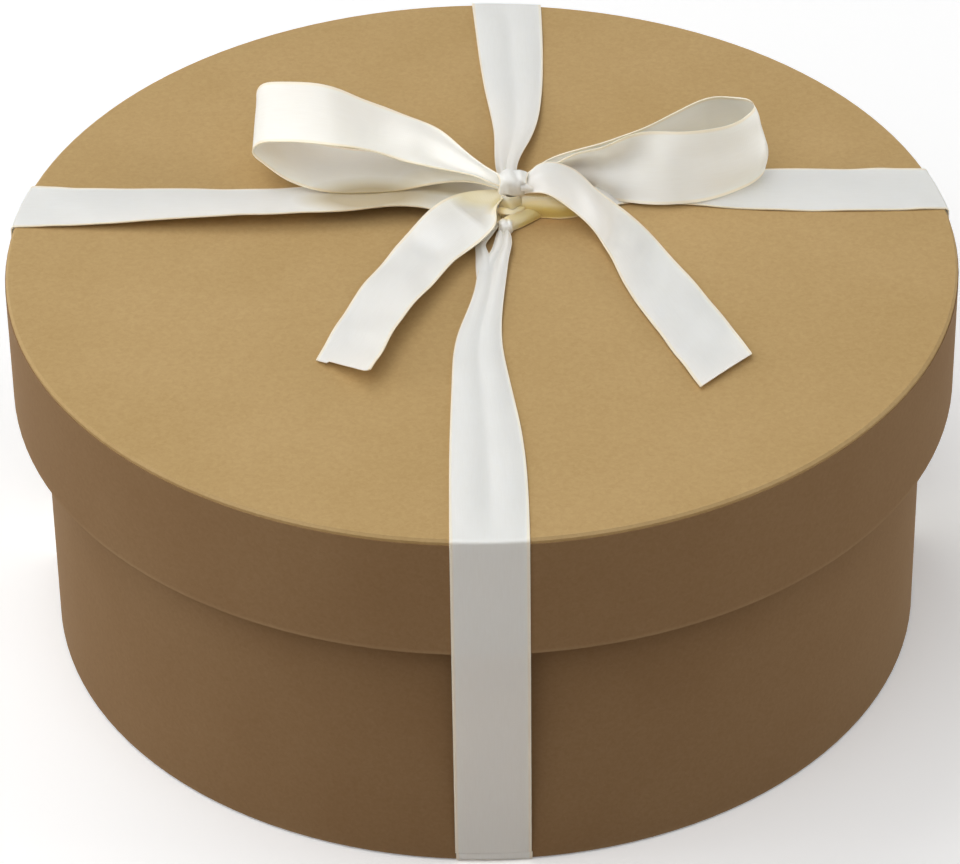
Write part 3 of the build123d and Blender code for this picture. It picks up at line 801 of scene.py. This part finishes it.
round_corner = ROUND_CORNER_MM * np.clip(1 - thread_shares / ROUND_CORNER_SHARE, 0, 1) ** 2
snip = ahead * (long_corner - round_corner)[:, None]
left_tail_rows[-SNIP_ROWS:] += snip * np.linspace(0.25, 1, SNIP_ROWS)[:, None, None]
ribbon_piece(
    "satin_left_tail", [left_tail_rows],
    ["bow_left_tail"],
)

# %% Right tail
RIGHT_TAIL_REACH = 104.0
RIGHT_TAIL_SWING = 76.5
right_tail_root_shares = (((0.29, -0.34, -0.13), (0.29, -0.21, 0.27)),)
right_tail_shares = (
    ((0.14, -0.052, 0.42), (0.148, 0.082, 0.56)),
    ((0.215, -0.078, 0.34), (0.27, 0.078, 0.45)),
    ((0.285, -0.115, 0.25), (0.36, 0.02, 0.32)),
    ((0.37, -0.205, 0.18), (0.485, -0.015, 0.1)),
    ((0.465, -0.415, 0.07), (0.66, -0.22, 0.025)),
    ((0.575, -0.635, 0.055), (0.82, -0.48, 0.025)),
    ((0.675, -0.82, 0.045), (0.92, -0.66, 0.03)),
    ((0.77, -1.0, 0.06), (1.0, -0.83, 0.07)),
)
right_tail_pairs = bow_pairs(
    right_tail_root_shares, right_tail_shares, RIGHT_TAIL_SWING, RIGHT_TAIL_REACH,
)
ribbon_piece(
    "satin_right_tail",
    [ribbon_rows(
        right_tail_pairs, TAIL_ROWS,
        partial(free_cut, arch=0.5, pleats=1.0, turn=0.0, fullness=0.28),
        crowns=[(-1.5, 0.33, 0.04), (0.9, 0.41, 0.05)], seed=4,
    )],
    ["bow_right_tail"],
)

# %% [markdown]
# ## The ribbon round the box
# From under the knot the ribbon runs across the lid, turns down over its edge, hangs past
# the rim and is pulled in straight to the foot, so that it bridges the rim's step. Across
# the lid it is again told by its two edges: each row gives how far along the band it is,
# and for each edge how far to the side, in ribbon widths, and how high above the lid, in
# shares of the bow's height. Down the side the ribbon follows the round wall.

# %% Where the bands lie on the lid
FRONT_X = 1.2
BACK_X = 10.4
LEFT_Y = 30.5
RIGHT_Y = 33.8
CROSSING_X = 8.5
CROSSING_Y = 13.0
LIE_MM = 0.3

front_band_shares = (
    (0.0, -0.5, 0.0, 0.5, 0.0),
    (0.32, -0.58, 0.0, 0.34, 0.0),
    (0.49, -0.6, 0.0, 0.15, 0.0),
    (0.63, -0.57, 0.01, 0.02, 0.01),
    (0.79, -0.37, 0.02, 0.03, 0.03),
    (0.855, -0.33, 0.02, 0.05, 0.04),
    (0.88, -0.28, 0.03, 0.06, 0.05),
    (0.91, -0.19, 0.045, 0.08, 0.06),
    (0.935, -0.15, 0.06, 0.09, 0.07),
    (0.97, -0.12, 0.055, 0.06, 0.06),
    (0.985, -0.11, 0.02, 0.05, 0.025),
)
back_band_shares = (
    (0.0, -0.5, 0.0, 0.5, 0.0),
    (0.27, -0.38, 0.0, 0.52, 0.0),
    (0.46, -0.27, 0.03, 0.49, 0.03),
    (0.63, -0.17, 0.1, 0.37, 0.1),
    (0.79, -0.15, 0.2, 0.16, 0.2),
    (0.92, -0.06, 0.3, 0.16, 0.3),
)
left_band_shares = (
    (0.0, -0.5, 0.0, 0.5, 0.0),
    (0.12, -0.46, 0.03, 0.5, 0.0),
    (0.29, -0.38, 0.115, 0.567, 0.01),
    (0.48, -0.27, 0.19, 0.64, 0.015),
    (0.68, -0.06, 0.19, 0.82, 0.03),
    (0.85, 0.12, 0.15, 0.98, 0.04),
    (0.93, 0.02, 0.06, 0.98, 0.05),
    (0.99, 0.0, 0.05, 0.88, 0.08),
)
right_band_shares = (
    (0.0, -0.5, 0.0, 0.5, 0.0),
    (0.41, -0.13, 0.0, 0.87, 0.0),
    (0.58, 0.15, 0.0, 1.04, 0.0),
    (0.7, 0.33, 0.0, 1.0, 0.04),
    (0.79, 0.25, 0.0, 0.6, 0.16),
    (0.86, 0.12, 0.0, 0.24, 0.27),
    (0.93, 0.22, 0.0, 0.25, 0.3),
    (0.985, 0.22, 0.02, 0.26, 0.33),
)


def band_pairs(edge, sideways, shares):
    """The two edges of a band on the lid, from the lid's edge to the crossing."""
    start = np.array([edge[0], edge[1], lid_top + LIE_MM])
    end = np.array([CROSSING_X, CROSSING_Y, lid_top + LIE_MM])
    rise = np.array([0, 0, BOW_HEIGHT])
    pairs = []
    for along, one, one_lift, other, other_lift in shares:
        middle = start + (end - start) * along
        pairs.append([
            middle + sideways * one * RIBBON_MM + rise * one_lift,
            middle + sideways * other * RIBBON_MM + rise * other_lift,
        ])
    return pairs


print("front band starts", FRONT_X, "mm right of the middle")

# %% The ribbon down the side
DROP_GAP_MM = 0.5
STRAIGHT_FROM_MM = 4.0
BEND_MM = 1.2
FOOT_GAP_MM = 0.08


def wall_row(edge, sideways, radius, height):
    """A row across the ribbon where it lies on a round wall."""
    outward = np.array(edge + (0.0,)) * (1 - sideways)
    outward /= np.linalg.norm(outward)
    side = np.dot(edge, sideways[:2]) + (thread_shares - 0.5) * RIBBON_MM
    depth = np.sqrt(radius ** 2 - side ** 2)
    row = sideways[None, :] * side[:, None] + outward[None, :] * depth[:, None]
    row[:, 2] = height
    return row


def drop_rows(edge, sideways):
    """Rows from the bend at the lid's edge, down over the rim and straight in to the foot."""
    # Eight rows make the bend, 14 lie on the rim and 29 lead to the foot
    top = lid_radius + DROP_GAP_MM
    level = lid_top + LIE_MM - BEND_MM
    rows = [
        wall_row(edge, sideways, top - BEND_MM * (1 - sin(turn)), level + BEND_MM * cos(turn))
        for turn in np.linspace(0, pi / 2, 8)
    ]
    rim_heights = np.linspace(lid_top - STRAIGHT_FROM_MM, rim_bottom, 14)
    rows += [wall_row(edge, sideways, top, height) for height in rim_heights]
    foot = drop_bottom + FOOT_GAP_MM / 2
    for share in np.linspace(0, 1, 30)[1:]:
        reach = top + (base_radius + DROP_GAP_MM - top) * share
        rows.append(wall_row(edge, sideways, reach, rim_bottom + (foot - rim_bottom) * share))
    return rows


print("the drop leans in", round(lid_radius - base_radius, 1), "mm between the rim and the foot")

# %% Four ribbons, each from the knot to the foot
EDGE_BLEND_MM = 30.0
BAND_ROWS = 110


def band_and_drop(side, edge, sideways, shares, folds, rise_share, seed, length):
    """One side's ribbon in one length, from under the knot to the foot."""
    sideways = np.array(sideways, float)
    pairs = band_pairs(edge, sideways, shares)[::-1]
    cut = partial(lying_cut, folds=folds, rise_share=rise_share)
    band = ribbon_rows(pairs, BAND_ROWS, cut, seed=seed, lying=True)
    edge_row = wall_row(edge, sideways, lid_radius + DROP_GAP_MM - BEND_MM, lid_top + LIE_MM)
    slid = edge_row - band[-1]
    # Near the lid's edge the rows turn from straight to the curve of the edge
    reach = np.linalg.norm(band[:, :, :2].mean(axis=1), axis=1)
    share = np.clip((reach - lid_radius + EDGE_BLEND_MM) / EDGE_BLEND_MM, 0, 1) ** 2
    band = band + slid[None] * share[:, None, None]
    rows = np.concatenate((band[:-1], drop_rows(edge, sideways)))
    ribbon_piece(
        f"satin_{side}_ribbon", [rows], [f"ribbon_{side}_band", f"ribbon_{side}_drop"],
    )


# Side, place on the lid's edge, way across, shares, folds, their rise, seed and length (mm)
bands = (
    ("front", (FRONT_X, -lid_radius), (1, 0, 0), front_band_shares, 2, 0.13, 5, 300),
    ("back", (BACK_X, lid_radius), (1, 0, 0), back_band_shares, 2, 0.22, 6, 280),
    ("left", (-lid_radius, LEFT_Y), (0, 1, 0), left_band_shares, 1, 0.15, 7, 300),
    ("right", (lid_radius, RIGHT_Y), (0, 1, 0), right_band_shares, 1, 0.15, 8, 280),
)
for band in bands:
    band_and_drop(*band)

# %% [markdown]
# ## Under the box
# The two ways of the ribbon cross flat under the base, where the box's weight presses them.
# They stay behind with the base when the lid is lifted, so they are pieces of their own.

# %% Ribbon under the base
UNDER_MM = 0.22
TURN_UP_START_MM = 1.0


def under_rows(start, end, sideways, level):
    """Rows under the base, turned up at both ends to meet the ribbon that comes down."""
    start, end = np.array(start, float), np.array(end, float)
    ahead = (end - start) / np.linalg.norm(end - start)
    across = np.array([-ahead[1], ahead[0]])
    across *= np.sign(np.dot(across, sideways))
    # Threads run straight, so each ends where its own line meets the wall
    lines = (start + end) / 2 + across * ((thread_shares - 0.5) * RIBBON_MM)[:, None]
    reach = np.sqrt((base_radius + DROP_GAP_MM) ** 2 - (lines @ across) ** 2)
    near, far = -reach - lines @ ahead, reach - lines @ ahead
    heights = np.linspace(drop_bottom - FOOT_GAP_MM / 2, TURN_UP_START_MM, 5)
    # The rows are closer together where the ribbon turns up
    places = np.concatenate(([0.002], np.linspace(0.01, 0.99, 60), [0.998]))
    steps = [(0.0, height) for height in heights] + [(place, level) for place in places]
    steps += [(1.0, height) for height in heights[::-1]]
    return [
        np.column_stack((
            lines + ahead * (near + (far - near) * place)[:, None], np.full(ACROSS, height),
        ))
        for place, height in steps
    ]


# Name, both ends, way across, and how high above the floor it lies (mm)
under_pieces = (
    ("front_back", (FRONT_X, -lid_radius), (BACK_X, lid_radius), (1, 0), 0.38),
    ("left_right", (-lid_radius, LEFT_Y), (lid_radius, RIGHT_Y), (0, 1), 0.13),
)
for label, start, end, sideways, level in under_pieces:
    ribbon_piece(
        f"satin_under_{label}", [under_rows(start, end, sideways, level)],
        [f"ribbon_under_{label}"],
        body="base", thickness=UNDER_MM,
    )

# %% [markdown]
# ## The knot
# The knot is the same ribbon wrapped once round the bundle and drawn tight. It puffs up
# like a small pillow, with creases that run out from its middle, rolled-in edges, and one
# corner of the wrap sticking out to the right. The wrap is a ring of rows, and its section
# is a rounded square, which a power below one of the sine and cosine gives.

# %% Knot
KNOT_ROWS = 72
KNOT_TOP_MM = 16.9
KNOT_FOOT_MM = 8.6
KNOT_INSET_MM = 0.5
ROLLED_EDGE_SHARE = 0.4
LENGTH_SWAY_SHARE = 0.08
knot_centre = knot_foot + np.array([0, 0, (KNOT_TOP_MM + KNOT_FOOT_MM) / 2])


def placed_pairs(origin, places):
    """The two edges of a short strand, from places in millimetres round a point."""
    return [[origin + np.array(place) for place in pair] for pair in places]


def wrap_rows(middle, half_size, squareness, creases):
    """Rows of a wrap that goes once round a bundle lying left to right."""
    across = (thread_shares - 0.5) * 2
    rows = []
    for turn in np.linspace(0, 2 * pi, KNOT_ROWS, endpoint=False):
        roll = 1 - ROLLED_EDGE_SHARE * np.abs(across) ** 4
        # Two trains of creases that cross: broad ones, and finer ones that wind round
        broad = np.cos(5.2 * across + 2.2 * sin(turn))
        fine = 0.6 * np.cos(9 * across - 3 * turn)
        swell = roll + creases * (broad + fine)
        y = np.sign(cos(turn)) * abs(cos(turn)) ** squareness
        z = np.sign(sin(turn)) * abs(sin(turn)) ** squareness
        length = half_size[0] * (1 + LENGTH_SWAY_SHARE * np.sin(2 * turn))
        rows.append(np.column_stack((
            middle[0] + across * length,
            middle[1] + y * half_size[1] * swell,
            middle[2] + z * half_size[2] * swell,
        )))
    return rows


knot_half = (knot_size[0] / 2 - KNOT_INSET_MM, knot_size[1] / 2, (KNOT_TOP_MM - KNOT_FOOT_MM) / 2)
corner_pairs = placed_pairs(knot_centre, (
    ((2.6, -3.9, -0.6), (2.6, -2.2, 2.4)),
    ((4.4, -3.9, -0.7), (4.4, -2.8, 1.5)),
    ((5.8, -3.7, -1.0), (5.8, -3.1, 0.7)),
    ((6.7, -3.4, -1.1), (6.8, -3.2, -0.1)),
))
ribbon_piece(
    "satin_knot",
    [
        wrap_rows(knot_centre, knot_half, squareness=0.75, creases=0.05),
        ribbon_rows(corner_pairs, samples=16, cut=strand_cut, seed=9, lying=True),
    ],
    ["bow_knot"], rings=[0],
)

# %% [markdown]
# ## The crossing
# Under the knot the two ways of the ribbon are twisted round each other. From the front it
# shows as a leaf of cloth that turns down to the right, a pale fold above it shaped like an
# eye, and a small tight roll where the front band comes up over the twist. They are made as
# sheets of one piece, placed in millimetres from the point on the lid under the knot.

# %% Crossing
core_middle = knot_foot + np.array([-0.6, -1.5, 0.0])
CORE_HEIGHT = KNOT_FOOT_MM + 1.0
CORE_ROWS = 40
CORE_RADII_MM = (4.6, 4.4)
CORE_TAPER = 0.35
CORE_FOLDS = 5
CORE_FOLD_SHARE = 0.08


def core_rows():
    """Rows that climb the mound of twisted cloth inside, all round it."""
    rows = []
    for turn in np.linspace(0, 2 * pi, CORE_ROWS, endpoint=False):
        shrink = 1 - CORE_TAPER * thread_shares ** 1.5
        ripple = np.sin(CORE_FOLDS * turn + CORE_FOLDS * thread_shares)
        fold = 1 + CORE_FOLD_SHARE * ripple * np.sin(pi * thread_shares)
        rows.append(np.column_stack((
            core_middle[0] + cos(turn) * CORE_RADII_MM[0] * shrink * fold,
            core_middle[1] + sin(turn) * CORE_RADII_MM[1] * shrink * fold,
            core_middle[2] + LIE_MM + thread_shares * CORE_HEIGHT,
        )))
    return rows[::-1]


leaf_pairs = placed_pairs(knot_foot, (
    ((11.5, -0.7, 0.5), (11.0, -0.8, 2.2)),
    ((6.4, -5.1, 0.5), (7.2, -2.4, 4.3)),
    ((2.5, -8.5, 0.5), (3.2, -4.4, 4.4)),
    ((-0.5, -10.8, 0.7), (-0.7, -6.8, 4.6)),
    ((-3.0, -12.2, 1.2), (-3.6, -9.0, 4.2)),
))
eye_pairs = placed_pairs(knot_foot, (
    ((-5.4, -5.0, 4.4), (-5.4, -4.2, 5.3)),
    ((-2.2, -6.8, 4.5), (-2.6, -3.6, 5.7)),
    ((1.0, -6.2, 4.7), (0.6, -3.2, 5.9)),
    ((3.8, -4.2, 5.0), (3.6, -3.2, 5.8)),
))
roll_middle = knot_foot + np.array([-2.7, -11.8, 3.0])
roll_half = (2.3, 2.5, 2.4)
ribbon_piece(
    "satin_crossing",
    [
        core_rows(),
        wrap_rows(roll_middle, roll_half, squareness=0.85, creases=0.05),
        ribbon_rows(leaf_pairs, samples=30, cut=strand_cut, seed=10, lying=True),
        ribbon_rows(eye_pairs, samples=24, cut=strand_cut, seed=11, lying=True),
    ],
    ["ribbon_crossing"], rings=[0, 1],
)

# %% [markdown]
# The front band comes to the crossing in two folds. The right one is the end of the band
# itself. The left one is a narrow fold that parts from it a few centimetres before the
# knot and slips under the left tail, which leaves a small dark gap between them.

# %% Left fold of the front band
front_fold_pairs = placed_pairs(knot_foot, (
    ((-12.4, -42.0, 0.3), (-7.0, -42.0, 0.3)),
    ((-12.9, -33.0, 0.5), (-7.4, -33.0, 0.8)),
    ((-12.9, -25.0, 0.8), (-8.6, -25.6, 1.2)),
    ((-12.9, -20.5, 1.1), (-9.4, -21.0, 1.6)),
    ((-11.6, -15.5, 1.6), (-7.8, -17.4, 2.1)),
    ((-8.6, -11.0, 2.0), (-5.6, -12.8, 2.7)),
    ((-5.2, -7.5, 2.0), (-3.6, -9.0, 3.0)),
))
ribbon_piece(
    "satin_front_fold",
    [ribbon_rows(front_fold_pairs, samples=50, cut=strand_cut, seed=12, lying=True)],
    [],
)

# %% [markdown]
# ## Floor, light and camera
# A pale floor keeps the box's shadow. It looks white to the camera, with a small glow of
# its own there, but throws less light back at the box than a white sheet would, so the walls
# stay darker than the lid. One big soft lamp stands high behind the box to the left, like a
# window, and sets the shadows. A nearer one above the front fills them, two screens at the
# sides lift the walls, and an even sky does the rest. Together they light the lid so that
# its paper renders about as its colour is written.

# %% Rays that see the background


def seen_rays(tree):
    """One for the rays that show a thing to the eye: straight on, in gloss or through glass."""
    path = add_node(tree, "ShaderNodeLightPath").outputs
    gloss = add_node(tree, "ShaderNodeMath", {"operation": "MAXIMUM"}, {
        0: path["Is Glossy Ray"], 1: path["Is Transmission Ray"],
    })
    return add_node(tree, "ShaderNodeMath", {"operation": "MAXIMUM"}, {
        0: path["Is Camera Ray"], 1: gloss,
    })


print("the background is shown white, and lights the box as grey")

# %% Floor
FLOOR_REACH_M = 6.0
FLOOR_GAP_MM = 0.1
FLOOR_GLOW = 0.18
floor_mesh = bpy.data.meshes.new("floor")
floor_corners = [
    (x * FLOOR_REACH_M, y * FLOOR_REACH_M, 0) for x, y in ((-1, -1), (1, -1), (1, 1), (-1, 1))
]
floor_mesh.from_pydata(floor_corners, [], [(0, 1, 2, 3)])
floor = bpy.data.objects.new("floor", floor_mesh)
floor.location.z = -FLOOR_GAP_MM * MM
scene.collection.objects.link(floor)
floor_material, tree, shader = new_material("pale_floor")
seen = seen_rays(tree)
floor_colour = add_node(tree, "ShaderNodeMix", {"data_type": "RGBA"}, {
    "Factor": seen, "A": linear("#a5927f"), "B": linear("#ffffff"),
})
glow = add_node(tree, "ShaderNodeMath", {"operation": "MULTIPLY"}, {0: seen, 1: FLOOR_GLOW})
set_inputs(tree, shader, {
    "Base Color": floor_colour, "Roughness": 0.9, "Specular IOR Level": 0.1,
    "Emission Color": (1, 1, 1, 1), "Emission Strength": glow,
})
floor_mesh.materials.append(floor_material)
print("the floor reaches", FLOOR_REACH_M, "m each way")

# %% Light
SKY_STRENGTH = 0.2
scene.view_settings.view_transform = "Standard"
world = bpy.data.worlds.new("even_sky")
scene.world = world
world.use_nodes = True
tree = world.node_tree
tree.nodes.clear()
sky, white = [
    add_node(tree, "ShaderNodeBackground", None, {"Color": (1, 1, 1, 1), "Strength": strength})
    for strength in (SKY_STRENGTH, 1.0)
]
mixed = add_node(tree, "ShaderNodeMixShader", None, {0: seen_rays(tree), 1: sky, 2: white})
add_node(tree, "ShaderNodeOutputWorld", None, {"Surface": mixed})

# Round area lamps: name, place (m), width (m) and power (W)
lamps = (
    ("window_light", (-1.1, 1.25, 2.9), 2.5, 29.5),
    ("ceiling_light", (-0.4, -0.88, 1.6), 1.9, 14.6),
    ("left_screen", (-2.6, 0.2, 1.0), 1.8, 25.0),
    ("right_screen", (2.6, 0.2, 0.9), 1.8, 21.0),
)
for name, place, size, power in lamps:
    lamp_data = bpy.data.lights.new(name, "AREA")
    lamp_data.shape = "DISK"
    lamp_data.size = size
    lamp_data.energy = power
    lamp = bpy.data.objects.new(name, lamp_data)
    lamp.location = place
    aim = Vector((0, 0, lid_top * MM)) - lamp.location
    lamp.rotation_mode = "QUATERNION"
    lamp.rotation_quaternion = aim.to_track_quat("-Z", "Y")
    scene.collection.objects.link(lamp)
    print(name, "is", round(aim.length, 2), "m from the lid")

# %% [markdown]
# ## Camera
# The photograph looks down at the lid from the front, from ten lid radii away. Its tilt, turn
# and focal length were found by fitting the outlines of the lid, the rim and the foot.

# %% Camera
CAMERA_TILT = 36.33
CAMERA_TURN = -0.79
CAMERA_RADII = 10.0
LENS_MM = 178.4
AIM_RIGHT_SHARE = -0.0003
AIM_UP_SHARE = -0.038

tilt, turn = radians(CAMERA_TILT), radians(CAMERA_TURN)
back = np.array([0, -cos(tilt), sin(tilt)])
right = np.array([1.0, 0, 0])
up = np.cross(back, right)
right_turned = cos(turn) * right + sin(turn) * up
up_turned = -sin(turn) * right + cos(turn) * up
distance = CAMERA_RADII * lid_radius
eye = np.array([0, 0, lid_top]) + distance * (
    back + right_turned * AIM_RIGHT_SHARE + up_turned * AIM_UP_SHARE
)
camera_data = bpy.data.cameras.new("camera")
camera_data.lens = LENS_MM
camera_data.sensor_width = 36.0
camera = bpy.data.objects.new("camera", camera_data)
axes = np.column_stack((right_turned, up_turned, back))
camera.matrix_world = Matrix.Translation(eye * MM) @ Matrix(axes.tolist()).to_4x4()
scene.collection.objects.link(camera)
scene.camera = camera
print("camera", (eye * MM).round(3))
